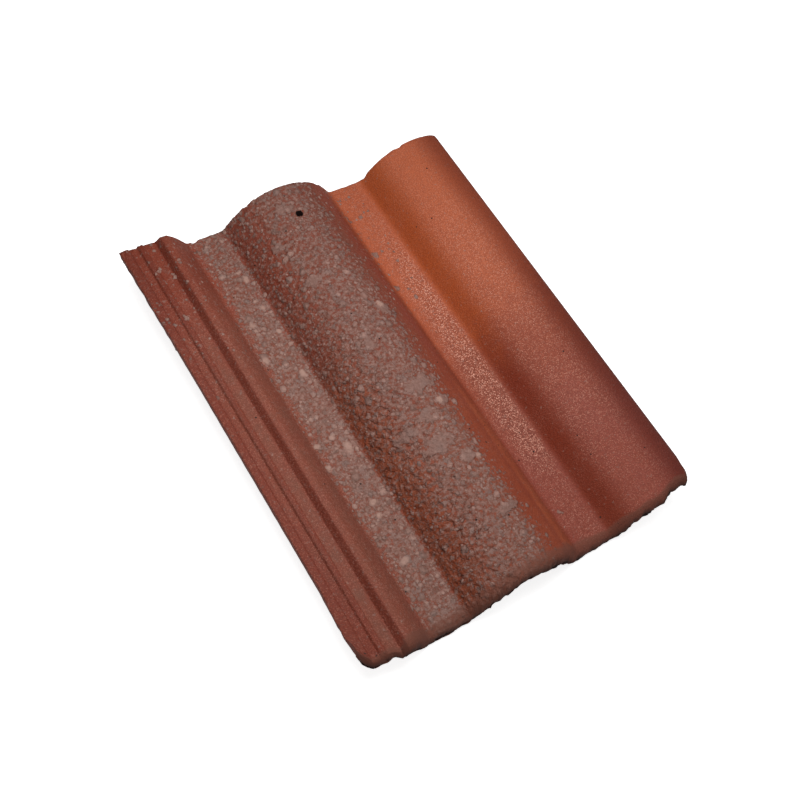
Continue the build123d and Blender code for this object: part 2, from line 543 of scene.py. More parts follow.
@dataclass(frozen=True)
class SlurryPlan:
    """Where the grey slurry was thrown on the tile, how the ground under it is tinted, and where shade and a
    sheen are painted on it.
    """

    pan_end: float = 0.098
    head_limit: float = 0.197
    tail_limit: float = 0.188
    limit_run: Strip = Strip(begin=(0.06, 0.34))
    limit_fade: tuple[float, float] = (0.004, 0.034)
    toward_head: Strip = Strip(end=(0.22, 0.38))
    toward_tail: Strip = Strip(end=(0.18, 0.30))
    stray_sways: tuple[Sway, ...] = (Sway(0.003, 0.030, 0.0), Sway(0.0015, 0.009, 5.0))
    thick_sways: tuple[Sway, ...] = (Sway(0.12, 0.045, 9.0), Sway(0.08, 0.014, 17.0))
    crease_sway: Sway = Sway(0.0008, 0.008, 5.0)
    pan_cover: Strip = Strip(begin=(0.054, 0.076), share=0.95)
    pan_crease: Strip = Strip(end=(0.0970, 0.0994))
    flank_cover: Strip = Strip((0.096, 0.099), (0.128, 0.140))
    flank_least: float = 0.58
    flank_more: Strip = Strip(begin=(0.103, 0.116), share=0.14)
    flank_less: Strip = Strip(end=(0.112, 0.128), share=0.14)
    roll_cover: Strip = Strip(begin=(0.106, 0.132))
    roll_share: float = 0.94
    roll_less: Strip = Strip(end=(0.120, 0.136), share=0.16)
    head_share: float = 0.83
    stray_areas: tuple[Area, ...] = (
        Area("second_pan_head", Strip(end=(0.236, 0.246), share=0.16), Strip(begin=(0.15, 0.34))),
        Area("second_pan", Strip(end=(0.236, 0.244), share=0.02)),
    )
    lock_cover: Strip = Strip(end=(0.050, 0.062), share=0.10)
    veil_areas: tuple[Area, ...] = (
        Area("ridge", Strip((0.034, 0.038), (0.062, 0.076), 0.42), Strip(end=(0.26, 0.38), rest=0.3)),
        Area("channel", Strip((0.019, 0.022), (0.029, 0.032), 0.50), Strip(end=(0.26, 0.38), rest=0.1)),
        Area("rib", Strip((0.006, 0.010), (0.016, 0.020), 0.22), Strip((0.03, 0.10), (0.26, 0.38))),
        Area("slope", Strip((0.165, 0.175), (0.180, 0.200), 0.45), Strip(begin=(0.10, 0.34))),
        Area("first_flank", Strip((0.098, 0.102), (0.130, 0.150), 0.42), Strip(end=(0.22, 0.32))),
    )
    veil_of_cover: Strip = Strip(begin=(0.25, 0.70), share=0.45)
    veil_off_rift: float = 0.3
    veil_sway: Sway = Sway(0.5, 0.012, 19.0)
    rift_area: Area = Area(
        "first_flank", Strip((0.098, 0.103), (0.125, 0.170)), Strip(end=(0.18, 0.28), share=0.78, rest=0.42)
    )
    rift_least: float = 0.12
    rift_sway: Sway = Sway(0.10, 0.03, 15.0)
    warm_right: Strip = Strip(begin=(0.190, 0.215))
    warm_run: Strip = Strip(begin=(0.06, 0.34), rest=0.10)
    warm_stray: Sway = Sway(0.02, 0.06, 3.0)
    warm_areas: tuple[Area, ...] = (
        Area(
            "first_roll",
            Strip((0.094, 0.100), (0.185, 0.205)),
            Strip(end=(0.12, 0.27), share=0.58, rest=0.32),
        ),
        Area("lock", Strip(end=(0.080, 0.105), share=0.28)),
        Area("first_flank", Strip((0.097, 0.101), (0.118, 0.146), 0.72), Strip(end=(0.20, 0.31))),
        # Warmer and lighter at the tail end beside the first roll: partly the ground's orange, partly painted
        # light against the roll's shade.
        Area("second_pan_foot", Strip((0.188, 0.198), (0.208, 0.216), 0.66), Strip(end=(0.14, 0.26))),
    )
    warm_sway: Sway = Sway(0.07, 0.035, 7.0)
    # Painted shade at the rolls' feet: the second roll's left foot, the first roll's right foot and the foot
    # of its left flank.
    crease_shade_areas: tuple[Area, ...] = (
        Area("second_roll_foot", Strip((0.244, 0.250), (0.256, 0.275))),
        Area("second_pan_foot", Strip((0.176, 0.196), (0.203, 0.214), 0.22), Strip(begin=(0.18, 0.34))),
        Area(
            "first_flank",
            Strip((0.096, 0.100), (0.108, 0.126)),
            Strip(end=(0.16, 0.28), share=0.95, rest=0.35),
        ),
    )
    # Painted shade in the lock's ribs, on its ridge and near the head.
    lock_crease_shades: tuple[Area, ...] = (
        Area("ribs", Strip(end=(0.030, 0.040), share=0.40)),
        Area("ridge", Strip((0.030, 0.040), (0.058, 0.066), 0.22)),
        Area("head", Strip(end=(0.058, 0.066), share=0.34), Strip(begin=(0.31, 0.38))),
    )
    # Painted shade along the lip, on the lock's ribs, step and ridge and on the first roll's right slope; on
    # the slurried roll it also darkens the slurry's tone.
    lip_shade: Strip = Strip(begin=(0.290, 0.322))
    lock_shade: Strip = Strip(end=(0.018, 0.021))
    lock_share: float = 0.50
    light_channel: Area = Area(
        "first_channel", Strip((0.0075, 0.0095), (0.0135, 0.0155), 0.36), Strip(begin=(0.05, 0.14))
    )
    step_shade: Strip = Strip((0.0295, 0.0315), (0.0355, 0.0375), 0.40)
    ridge_shade: Strip = Strip((0.034, 0.038), (0.062, 0.070), 0.06)
    flank_shade_and_tone: Strip = Strip(begin=(0.098, 0.100), share=0.26)
    crown_shade_and_tone: tuple[Area, ...] = (
        Area("crown", Strip(begin=(0.126, 0.146), share=0.06)),
        Area("right_slope", Strip(begin=(0.155, 0.178), share=0.16)),
        Area("first_flank", Strip(end=(0.112, 0.134), share=0.12), Strip(end=(0.20, 0.30))),
    )
    crown_share: float = 0.26
    crown_end: Strip = Strip(end=(0.182, 0.194))
    slurry_end: Strip = Strip(end=(0.188, 0.198))
    sanded_pan: Area = Area(
        "second_pan", Strip((0.208, 0.228), (0.242, 0.248)), Strip(end=(0.20, 0.36), share=0.71, rest=0.36)
    )
    # Painted sheen: more pale grains in the middle and right of the second pan.
    painted_sheen: Area = Area(
        "second_pan_middle", Strip(begin=(0.212, 0.240), share=1.2), Strip((0.05, 0.13), (0.30, 0.40))
    )
    sheen_least: float = 0.60
    plain_tail: Strip = Strip(begin=(0.05, 0.11), rest=0.65)
    sanded_roll: Area = Area(
        "second_roll",
        Strip((0.256, 0.272), (0.300, 0.318), 0.85),
        Strip(begin=(0.03, 0.14), share=0.38, rest=0.22),
    )
    plain_head: Strip = Strip(end=(0.30, 0.38), rest=0.3)
    sanded_lock: Area = Area("lock", Strip(end=(0.090, 0.108), share=0.20), Strip(end=(0.30, 0.38), rest=0.4))
    sanded_least: float = 0.04
    sanded_sway: Sway = Sway(0.10, 0.02, 13.0)
    # Painted shade on the tail: darker down the nose, on the arris and on the face, and on the nail hole's
    # wall.
    nose_shade_reach: float = 0.0190
    nose_shade_right: Strip = Strip(begin=(0.20, 0.27), share=0.008)
    nose_shade_left: Strip = Strip(end=(0.032, 0.040), share=0.009)
    nose_shade_sway: Sway = Sway(0.0018, 0.012, 11.0)
    nose_shade: Strip = Strip(end=(0.05, 1.0))
    nose_power: float = 1.2
    nose_share: float = 0.66
    arris_shade: Strip = Strip(end=(0.0, 0.0018), share=0.18)
    face_shade: Strip = Strip(end=(0.0, 0.004))
    face_share: float = 0.92
    hole_shade: Strip = Strip(end=(0.0036, 0.0040))
    crust_blotches: tuple[Blotch, ...] = (
        Blotch(0.134, 0.319, 0.009, 0.006),
        Blotch(0.145, 0.396, 0.010, 0.006),
        Blotch(0.124, 0.364, 0.006, 0.004),
        Blotch(0.173, 0.267, 0.006, 0.007),
        Blotch(0.160, 0.188, 0.016, 0.008),
        Blotch(0.171, 0.165, 0.006, 0.005),
        Blotch(0.127, 0.152, 0.011, 0.006),
        Blotch(0.146, 0.132, 0.013, 0.009),
        Blotch(0.161, 0.112, 0.008, 0.007),
        Blotch(0.150, 0.160, 0.010, 0.007),
        Blotch(0.165, 0.058, 0.009, 0.005),
        Blotch(0.142, 0.240, 0.006, 0.006),
    )
    pale_spots: tuple[Blotch, ...] = (
        Blotch(0.092, 0.363, 0.003, 0.004),
        Blotch(0.091, 0.330, 0.003, 0.003),
        Blotch(0.074, 0.317, 0.004, 0.003),
        Blotch(0.067, 0.280, 0.004, 0.004),
        Blotch(0.092, 0.302, 0.003, 0.003),
        Blotch(0.090, 0.256, 0.003, 0.005),
        Blotch(0.065, 0.188, 0.004, 0.003),
        Blotch(0.089, 0.176, 0.004, 0.007),
        Blotch(0.081, 0.190, 0.003, 0.003),
        Blotch(0.064, 0.166, 0.003, 0.004),
        Blotch(0.082, 0.123, 0.004, 0.003),
        Blotch(0.080, 0.111, 0.003, 0.003),
        Blotch(0.078, 0.067, 0.004, 0.004),
        Blotch(0.173, 0.272, 0.004, 0.004),
        Blotch(0.168, 0.167, 0.003, 0.004),
        Blotch(0.169, 0.108, 0.003, 0.003),
    )
    stray_blotches: tuple[Blotch, ...] = (
        Blotch(0.210, 0.380, 0.003, 0.003),
        Blotch(0.225, 0.381, 0.003, 0.003),
        Blotch(0.214, 0.336, 0.004, 0.004),
        Blotch(0.213, 0.295, 0.004, 0.003),
        Blotch(0.225, 0.280, 0.002, 0.003),
        Blotch(0.222, 0.240, 0.002, 0.002),
        Blotch(0.220, 0.040, 0.003, 0.003),
    )

    def cover(self, drawn: np.ndarray) -> np.ndarray:
        """How much of the ground the slurry hides, point by point.

        Args:
            drawn: Places on the drawn tile.

        Returns:
            One value for each point, 0 to about 1.
        """
        x, y = drawn[:, 0], drawn[:, 1]
        strayed = x + sum(sway.at(drawn) for sway in self.stray_sways)
        thick = 1.0 + sum(sway.at(drawn) for sway in self.thick_sways)
        tailward, low = self.toward_head.at(y), self.toward_tail.at(y)
        limit = self.tail_limit + (self.head_limit - self.tail_limit) * self.limit_run.at(y)
        pan = self.pan_cover.at(strayed) * self.pan_crease.at(x + self.crease_sway.at(drawn))
        flank = self.flank_least + self.flank_more.at(x) * tailward
        flank = flank * (1.0 - self.flank_less.at(x) * low) * self.flank_cover.at(x)
        past, short = self.limit_fade
        edge = smooth(limit + past, limit - short, strayed)
        roll = (self.roll_share - self.roll_less.at(x) * low) * self.roll_cover.at(strayed) * edge
        body = np.max([pan, flank, roll], axis=0) * thick
        body = body * (self.head_share + (1.0 - self.head_share) * tailward)
        stray = sum(area.at(drawn) for area in self.stray_areas)
        return np.max([body, stray, self.lock_cover.at(x)], axis=0)

    def veil(self, drawn: np.ndarray) -> np.ndarray:
        """How much a thin brownish film greys the ground under and beside the thick slurry.

        Args:
            drawn: Places on the drawn tile.

        Returns:
            One value for each point, 0 to 1.
        """
        thick = self.veil_of_cover.at(self.cover(drawn)) * (1.0 - self.veil_off_rift * self.rift(drawn))
        film = np.maximum(strongest(self.veil_areas, drawn), thick)
        return np.clip(film * (1.0 + self.veil_sway.at(drawn)), 0.0, 1.0)

    def rift(self, drawn: np.ndarray) -> np.ndarray:
        """How cracked and rippled the slurry is: most on the first roll's left flank."""
        slack = self.rift_sway.at(drawn) + self.rift_least
        return np.clip(self.rift_area.at(drawn) + slack, 0.0, 1.0)

    @staticmethod
    def spread(drawn: np.ndarray, blotches: tuple[Blotch, ...]) -> np.ndarray:
        """How near points are to the nearest blotch.

        Args:
            drawn: Places on the drawn tile.
            blotches: The blotches.

        Returns:
            One value for each point, 1 in a blotch's middle and 0 well outside.
        """
        x, y = drawn[:, 0], drawn[:, 1]
        reach = [np.hypot((x - b.x) / b.wide, (y - b.y) / b.long) for b in blotches]
        return np.clip(1.0 - 0.5 * np.min(reach, axis=0), 0.0, 1.0)

    def warmth(self, drawn: np.ndarray) -> np.ndarray:
        """Tint of the ground.

        Args:
            drawn: Places on the drawn tile.

        Returns:
            One value for each point: 0 dusky red, 0.5 brick, 1 orange.
        """
        x, y = drawn[:, 0], drawn[:, 1]
        right = self.warm_right.at(x) * self.warm_run.at(y + self.warm_stray.at(drawn))
        warm = np.maximum(right, strongest(self.warm_areas, drawn))
        return np.clip(warm + self.warm_sway.at(drawn), 0.0, 1.0)

    def crease(self, drawn: np.ndarray) -> np.ndarray:
        """Painted shade: where the smooth ground is darkened to deep brown, in the creases beside the rolls
        and on the lock.
        """
        lock = sum(area.at(drawn) for area in self.lock_crease_shades)
        return np.maximum(strongest(self.crease_shade_areas, drawn), lock)

    def painted_shade_and_tone(self, drawn: np.ndarray) -> np.ndarray:
        """Where the surface darkens: painted shade, and under the slurry a darker tone as well.

        Args:
            drawn: Places on the drawn tile.

        Returns:
            One value for each point: painted shade along the lip and on the lock's ribs and steps, and under
                the slurry painted shade on the roll's slopes together with a darker tone.
        """
        x = drawn[:, 0]
        lock = (self.lock_share - self.light_channel.at(drawn)) * self.lock_shade.at(x)
        lock = lock + self.step_shade.at(x) + self.ridge_shade.at(x)
        crown = self.crown_share + sum(area.at(drawn) for area in self.crown_shade_and_tone)
        slurried = np.maximum(self.flank_shade_and_tone.at(x), crown * self.crown_end.at(x))
        slurried = np.where(x > self.pan_end, slurried, 0.0) * self.slurry_end.at(x)
        return np.max([self.lip_shade.at(x), lock, slurried], axis=0)

    def sanded(self, drawn: np.ndarray) -> np.ndarray:
        """How thickly pale sand grains show in the ground, with more of them in the middle of the second pan
        as a painted sheen.

        Args:
            drawn: Places on the drawn tile.

        Returns:
            One value for each point, 0 to 1.
        """
        y = drawn[:, 1]
        pan = self.sanded_pan.at(drawn) * (self.sheen_least + self.painted_sheen.at(drawn))
        pan = pan * self.plain_tail.at(y)
        roll = self.sanded_roll.at(drawn) * self.plain_head.at(y)
        thickest = np.max([pan, roll, self.sanded_lock.at(drawn)], axis=0)
        return np.clip(thickest + self.sanded_sway.at(drawn) + self.sanded_least, 0.0, 1.0)

    def end_shade(self, drawn: np.ndarray, depth: np.ndarray, nail: tuple[float, float]) -> np.ndarray:
        """Painted shade on the broken tail face: 0 above the nose, 1 at its lower edge.

        Args:
            drawn: Places on the drawn tile.
            depth: Depth under the upper face, 0 there to 1 on the underside.
            nail: Place of the nail hole, whose wall gets painted shade as well.

        Returns:
            One value for each point.
        """
        x, y = drawn[:, 0], drawn[:, 1]
        reach = self.nose_shade_reach - self.nose_shade_right.at(x) - self.nose_shade_left.at(x) + self.nose_shade_sway.at(drawn)
        upper = self.nose_share * self.nose_shade.at(y / reach) ** self.nose_power + self.arris_shade.at(y)
        face = self.face_shade.at(y) * (self.face_share + (1.0 - self.face_share) * depth)
        tail = np.where(depth < UPPER_SKIN, upper, face)
        return np.maximum(tail, self.hole_shade.at(np.hypot(x - nail[0], y - nail[1])))


@dataclass(frozen=True)
class Crust:
    """What the slurry is at a place: whether it is there, its height, tone, cracks, patches, and the rims of
    painted shade round its clots.
    """

    mask: bpy.types.NodeSocket
    height: bpy.types.NodeSocket
    tone: bpy.types.NodeSocket
    crack: bpy.types.NodeSocket
    smear: bpy.types.NodeSocket
    rim: bpy.types.NodeSocket


@dataclass(frozen=True)
class Clots:
    """One layer of slurry clots: their size and height in metres, and the share of places they take."""

    size: float
    height: float
    share: float
    least: float = 0.30
    spread: float = 0.32


@dataclass(frozen=True)
class SlurryPattern:
    """The slurry's film, clots, cracks and patches, used alike for their relief and their colour."""

    layers: tuple[Clots, ...] = (
        Clots(0.0027, 0.0006, 0.46),
        Clots(0.0041, 0.0008, 0.46),
        Clots(0.0068, 0.0010, 0.26),
    )
    warp: float = 0.0030
    film_grain: float = 0.0036
    film_height: float = 0.00025
    crack_cell: float = 0.0090
    crack_depth: float = 0.0005
    ripple: float = 0.009
    ripple_height: float = 0.0009
    smear_height: float = 0.0008

    def lay(
        self,
        bench: Bench,
        laid: bpy.types.NodeSocket,
        cover: bpy.types.NodeSocket,
        rift: bpy.types.NodeSocket,
        patch: bpy.types.NodeSocket,
    ) -> Crust:
        """Works out the crust in a material's group or in the relief's modifier.

        Args:
            bench: The tree to work in.
            laid: Place on the unrolled surface.
            cover: How much of the ground the slurry hides.
            rift: How cracked and rippled it is.
            patch: How near a smooth patch is.

        Returns:
            The crust.
        """
        swirl = bench.grain(laid, 0.0040, 3.0, 0.6).outputs["Color"]
        swirl = bench.vectors("SUBTRACT", swirl, (0.5, 0.5, 0.5))
        at = bench.vectors("ADD", laid, bench.scaled(swirl, self.warp))
        fine = bench.less(bench.grain(laid, self.film_grain, 4.0, 0.66).outputs[0], 0.5)
        film = bench.line(fine, 3.2, bench.line(cover, 0.80, -0.48))
        level = bench.step(film, -0.22, 0.42)
        height = bench.times(level, self.film_height)
        level = bench.times(level, 0.86)
        tone = bench.line(fine, 2.4, 0.38, clamp=True)
        rim = 0.0
        for layer in self.layers:
            cell = bench.pebbles(at, layer.size)
            chance, girth, shade = bench.parts(cell.outputs["Color"])
            radius = bench.line(girth, layer.spread, layer.least)
            inside = bench.less(radius, cell.outputs["Distance"])
            inside = bench.line(fine, 0.4, inside)
            crowd = bench.step(cover, 0.05, 0.60, layer.share)
            crowd = bench.times(crowd, bench.line(rift, -0.65, 1.0))
            there = bench.step(bench.less(crowd, chance), 0.0, 0.02)
            clot = bench.times(bench.step(inside, -0.03, 0.08), there)
            # A ring just outside each clot, painted as shade round it.
            ring = bench.times(bench.step(inside, -0.17, -0.04), there)
            dome = bench.times(bench.step(inside, 0.0, 0.36), there)
            # Each clot's tone grows lighter towards its dome's top: a painted highlight on the clot tops.
            shade = bench.line(shade, 0.55, bench.line(dome, 0.38, 0.08))
            tone = bench.blend(bench.times(clot, 0.85), tone, shade)
            rim = bench.times(bench.maths("MAXIMUM", rim, ring), bench.less(1.0, clot))
            level = bench.maths("MAXIMUM", level, clot)
            height = bench.maths("MAXIMUM", height, bench.times(dome, layer.height))
        wide = bench.less(bench.grain(laid, 0.007, 2.0, 0.5).outputs[0], 0.5)
        ragged = bench.line(wide, 1.3, patch)
        smear = bench.step(ragged, 0.46, 0.64)
        rim = bench.times(rim, bench.less(1.0, smear))
        height = bench.maths("MAXIMUM", height, bench.step(ragged, 0.46, 0.62, self.smear_height))
        edge = bench.pebbles(at, self.crack_cell, "DISTANCE_TO_EDGE").outputs["Distance"]
        some = bench.step(bench.grain(laid, 0.008, 2.0, 0.6).outputs[0], 0.62, 0.42)
        crack = bench.times(bench.step(edge, 0.075, 0.0), bench.times(some, rift))
        crack = bench.times(crack, bench.less(1.0, bench.times(smear, 0.7)))
        waves = bench.less(bench.grain(at, self.ripple, 2.0, 0.55).outputs[0], 0.5)
        waves = bench.maths("ABSOLUTE", waves)
        waves = bench.times(bench.step(waves, 0.14, 0.0, self.ripple_height), rift)
        height = bench.maths("ADD", height, bench.times(waves, bench.step(cover, 0.1, 0.5)))
        height = bench.line(crack, -self.crack_depth, height)
        mask = bench.maths("MAXIMUM", level, bench.times(smear, 0.9))
        return Crust(mask, height, tone, crack, smear, rim)


def tint(red: int, green: int, blue: int) -> tuple[float, float, float, float]:
    """A colour as seen on a screen, 0 to 255 a channel, as the shader's own numbers."""
    linear = [c / 255 / 12.92 if c <= 10 else ((c / 255 + 0.055) / 1.055) ** 2.4 for c in (red, green, blue)]
    return (*linear, 1.0)


@dataclass(frozen=True)
class SlurriedConcrete:
    """The tile's finish: through-coloured sanded concrete under a crust of grey slurry, with painted shade in
    creases, cracks and holes, round clots and on the tail.
    """

    dusk: tuple[float, ...] = tint(140, 66, 52)
    brick: tuple[float, ...] = tint(146, 68, 45)
    orange: tuple[float, ...] = tint(180, 92, 58)
    # Painted crease shade, dusky and orange.
    crease_shade_dusk: tuple[float, ...] = tint(124, 48, 26)
    crease_shade_orange: tuple[float, ...] = tint(164, 76, 34)
    # Pale sand grains, partly painted glints.
    pale_sand_and_glint: tuple[float, ...] = tint(240, 178, 156)
    slurry_dark: tuple[float, ...] = tint(104, 74, 64)
    slurry_light: tuple[float, ...] = tint(170, 134, 122)
    slurry_cool: tuple[float, ...] = tint(132, 112, 106)
    veil: tuple[float, ...] = tint(118, 84, 70)
    smear: tuple[float, ...] = tint(142, 112, 102)
    pale: tuple[float, ...] = tint(178, 142, 128)
    # Painted shade on the tail and in the nail hole: from the nose's brown through darker brown to near-black
    # at the lower edge; the near-black also fills the pinholes.
    nose: tuple[float, ...] = tint(112, 68, 55)
    end_shade: tuple[float, ...] = tint(78, 46, 38)
    deep_shade: tuple[float, ...] = tint(36, 20, 17)
    under: tuple[float, ...] = tint(140, 82, 66)
    gap_shade: tuple[float, ...] = (0.44, 0.31, 0.24, 1.0)
    # Multiplier for the painted shade round the clots.
    rim_shade: tuple[float, ...] = (0.56, 0.46, 0.42, 1.0)
    # Multiplier for the painted shade, which also darkens the slurry's tone.
    shade_and_tone_tint: tuple[float, ...] = (0.60, 0.50, 0.50, 1.0)
    speck_shade: tuple[float, ...] = (0.58, 0.50, 0.48, 1.0)
    pattern: SlurryPattern = SlurryPattern()
    sand: float = 0.0011
    pinhole_spacing: float = 0.0085
    crust_bump: float = 0.6
    sand_height: float = 0.00034
    roughness: float = 0.68
    end_and_hole_roughness: float = 0.95
    shine: float = 0.24

    def crust_group(self) -> bpy.types.NodeTree:
        """The crust as a shader group.

        Returns:
            The group.
        """
        names = ("Mask", "Height", "Tone", "Crack", "Smear", "RingShade")
        bench = group_bench("slurry_crust", ("Cover", "Rift", "Patch"), names)
        given = bench.add("NodeGroupInput").outputs
        crust = self.pattern.lay(bench, given["Laid"], given["Cover"], given["Rift"], given["Patch"])
        values = (crust.mask, crust.height, crust.tone, crust.crack, crust.smear, crust.rim)
        bench.wired_out(dict(zip(names, values)))
        return bench.tree

    def sand_group(self) -> bpy.types.NodeTree:
        """Sanded surface as a shader group: its relief, its light and dark grains and its pinholes.

        Returns:
            The group.
        """
        bench = group_bench("sanding", (), ("Height", "Light", "Dark", "Pinhole"))
        laid = bench.add("NodeGroupInput").outputs["Laid"]
        grains = bench.pebbles(laid, self.sand)
        chance, other, _ = bench.parts(grains.outputs["Color"])
        round_top = bench.step(grains.outputs["Distance"], 0.70, 0.15)
        # Painted shade in the gaps between the grains, joined into the dark specks.
        grain_gap_shade = bench.step(round_top, 0.5, 0.0)
        holes = bench.pebbles(laid, self.pinhole_spacing)
        lone = bench.step(bench.parts(holes.outputs["Color"])[0], 0.86, 0.87)
        bench.wired_out(
            {
                "Height": bench.times(round_top, bench.blend(chance, 0.2, 1.0)),
                "Light": bench.times(bench.step(chance, 0.25, 0.95), round_top),
                "Dark": bench.maths("MAXIMUM", bench.step(other, 0.55, 1.0), grain_gap_shade),
                "Pinhole": bench.times(lone, bench.step(holes.outputs["Distance"], 0.12, 0.07)),
            }
        )
        return bench.tree

    def ground(
        self,
        bench: Bench,
        sand: bpy.types.Node,
        speck: bpy.types.NodeSocket,
        cloud: bpy.types.NodeSocket,
    ) -> bpy.types.NodeSocket:
        """Colour of the bare sanded concrete, with painted shade in its creases and painted glints on its
        pale grains.

        Args:
            bench: The material's tree.
            sand: The sanding group's node.
            speck: Fine noise.
            cloud: Cloudy noise.

        Returns:
            The colour.
        """
        drift = bench.line(cloud, 0.4, -0.2)
        warm = bench.maths("ADD", bench.painted("warm"), drift, clamp=True)
        color = bench.tinge(bench.step(warm, 0.0, 0.5), self.dusk, self.brick)
        color = bench.tinge(bench.step(warm, 0.4, 1.0), color, self.orange)
        # Painted crease shade: the ground darkened to deep brown in the creases and on the lock.
        crease = bench.tinge(bench.step(warm, 0.3, 0.9), self.crease_shade_dusk, self.crease_shade_orange)
        color = bench.tinge(bench.maths("ADD", bench.painted("crease"), drift, clamp=True), color, crease)
        sanded = bench.painted("sanded")
        light = bench.line(sand.outputs["Light"], 1.0, 0.11)
        # Pale sand grains with lighter tops, partly painted glints and painted sheen.
        color = bench.tinge(bench.times(light, sanded), color, self.pale_sand_and_glint)
        veil = bench.times(bench.painted("veil"), bench.line(cloud, 1.2, 0.2))
        color = bench.tinge(veil, color, self.veil)
        dark = bench.times(sand.outputs["Dark"], bench.blend(sanded, 0.40, 0.95))
        color = bench.darken(dark, color, self.speck_shade)
        mottle = bench.times(bench.step(speck, 0.50, 0.34), bench.blend(sanded, 0.14, 0.75))
        return bench.darken(mottle, color, self.speck_shade)

    def slurry(
        self, bench: Bench, crust: bpy.types.Node, speck: bpy.types.NodeSocket, cloud: bpy.types.NodeSocket
    ) -> bpy.types.NodeSocket:
        """Colour of the slurry, with painted shade round its clots and painted highlights on their tops.

        Args:
            bench: The material's tree.
            crust: The crust group's node.
            speck: Fine noise.
            cloud: Cloudy noise.

        Returns:
            The colour.
        """
        color = bench.tinge(crust.outputs["Tone"], self.slurry_dark, self.slurry_light)
        color = bench.tinge(bench.step(cloud, 0.48, 0.66, 0.5), color, self.slurry_cool)
        color = bench.tinge(bench.times(crust.outputs["Smear"], 0.5), color, self.smear)
        # Painted shade in a ring round each clot.
        color = bench.darken(bench.times(crust.outputs["RingShade"], 0.7), color, self.rim_shade)
        return bench.darken(bench.step(speck, 0.46, 0.70, 0.5), color, self.speck_shade)

    def material(self) -> bpy.types.Material:
        """The finished material.

        Returns:
            The material for the whole tile.
        """
        material = bpy.data.materials.new("slurried_concrete")
        material.use_nodes = True
        bench = Bench(material.node_tree)
        shader = bench.tree.nodes["Principled BSDF"]

        laid = bench.painted("laid", "Vector")
        crust = bench.add("ShaderNodeGroup", node_tree=self.crust_group())
        bench.join(laid, crust.inputs["Laid"])
        for name in ("Cover", "Rift", "Patch"):
            bench.join(bench.painted(name.lower()), crust.inputs[name])
        sand = bench.add("ShaderNodeGroup", node_tree=self.sand_group())
        bench.join(laid, sand.inputs["Laid"])
        cloud = bench.grain(laid, 0.012, 4.0, 0.6).outputs[0]
        speck = bench.grain(laid, 0.0016, 3.0, 0.65).outputs[0]
        color = self.ground(bench, sand, speck, cloud)
        # Painted shade in a ring round each clot, on the bare ground too.
        color = bench.darken(bench.times(crust.outputs["RingShade"], 0.35), color, self.rim_shade)
        color = bench.tinge(crust.outputs["Mask"], color, self.slurry(bench, crust, speck, cloud))
        # Painted shade in the cracks, which the relief also sinks.
        color = bench.darken(bench.times(crust.outputs["Crack"], 0.75), color, self.gap_shade)
        # Painted shade along the lip, on the lock and on the first roll's slopes, with a darker tone for the
        # slurry.
        color = bench.darken(bench.painted("painted_shade_and_tone"), color, self.shade_and_tone_tint)
        spot = bench.maths("ADD", bench.painted("pale"), bench.line(speck, 0.5, -0.25))
        color = bench.tinge(bench.step(spot, 0.40, 0.75, 0.6), color, self.pale)
        # Pinholes painted near-black: painted shade in holes that the relief does not cut.
        color = bench.tinge(sand.outputs["Pinhole"], color, self.deep_shade)
        drift = bench.line(cloud, 0.6, -0.3)
        # Painted shade: darker down the tail's nose to near-black at its lower edge, and on the nail hole's
        # wall.
        broken = bench.painted("end_shade")
        end_shade = bench.maths("ADD", broken, bench.times(drift, bench.step(broken, 0.0, 0.15)))
        color = bench.tinge(bench.step(end_shade, 0.04, 0.32, 0.75), color, self.nose)
        color = bench.tinge(bench.step(end_shade, 0.62, 0.86, 0.85), color, self.end_shade)
        color = bench.tinge(bench.step(end_shade, 0.80, 0.96, 0.95), color, self.deep_shade)
        bare = bench.darken(bench.step(cloud, 0.3, 0.7, 0.5), self.under, self.speck_shade)
        color = bench.tinge(bench.step(bench.painted("depth"), 0.6, 0.9, 0.9), color, bare)
        bench.join(color, shader.inputs["Base Color"])
        rough = bench.blend(bench.step(end_shade, 0.1, 0.5), self.roughness, self.end_and_hole_roughness)
        bench.join(rough, shader.inputs["Roughness"])
        shader.inputs["Specular IOR Level"].default_value = self.shine
        relief = bench.times(sand.outputs["Height"], self.sand_height)
        relief = bench.line(speck, self.sand_height, relief)
        relief = bench.line(crust.outputs["Height"], self.crust_bump, relief)
        bump = bench.add("ShaderNodeBump")
        bump.inputs["Distance"].default_value = 1.0
        bench.join(relief, bump.inputs["Height"])
        bench.join(bump.outputs[0], shader.inputs["Normal"])
        return material


def rounded(before: Vector, corner: Corner, after: Vector, pitch: float) -> list[Vector]:
    """Points of one rounded corner.

    Args:
        before: The corner before it.
        corner: The corner to round.
        after: The corner after it.
        pitch: Distance between points.

    Returns:
        The corner itself where it is sharp, or the points along its arc.
    """
    point = Vector((corner.x, corner.z))
    if corner.radius == 0.0:
        return [point]
    come, go = (point - before).normalized(), (after - point).normalized()
    turn = come.angle(go)
    start = point - come * (corner.radius * tan(turn / 2))
    centre = point + (go - come).normalized() * (corner.radius / cos(turn / 2))
    sense = 1.0 if come.x * go.y - come.y * go.x > 0 else -1.0
    count = max(2, ceil(corner.radius * turn / pitch))
    return [
        centre + Matrix.Rotation(sense * turn * i / count, 2) @ (start - centre) for i in range(count + 1)
    ]


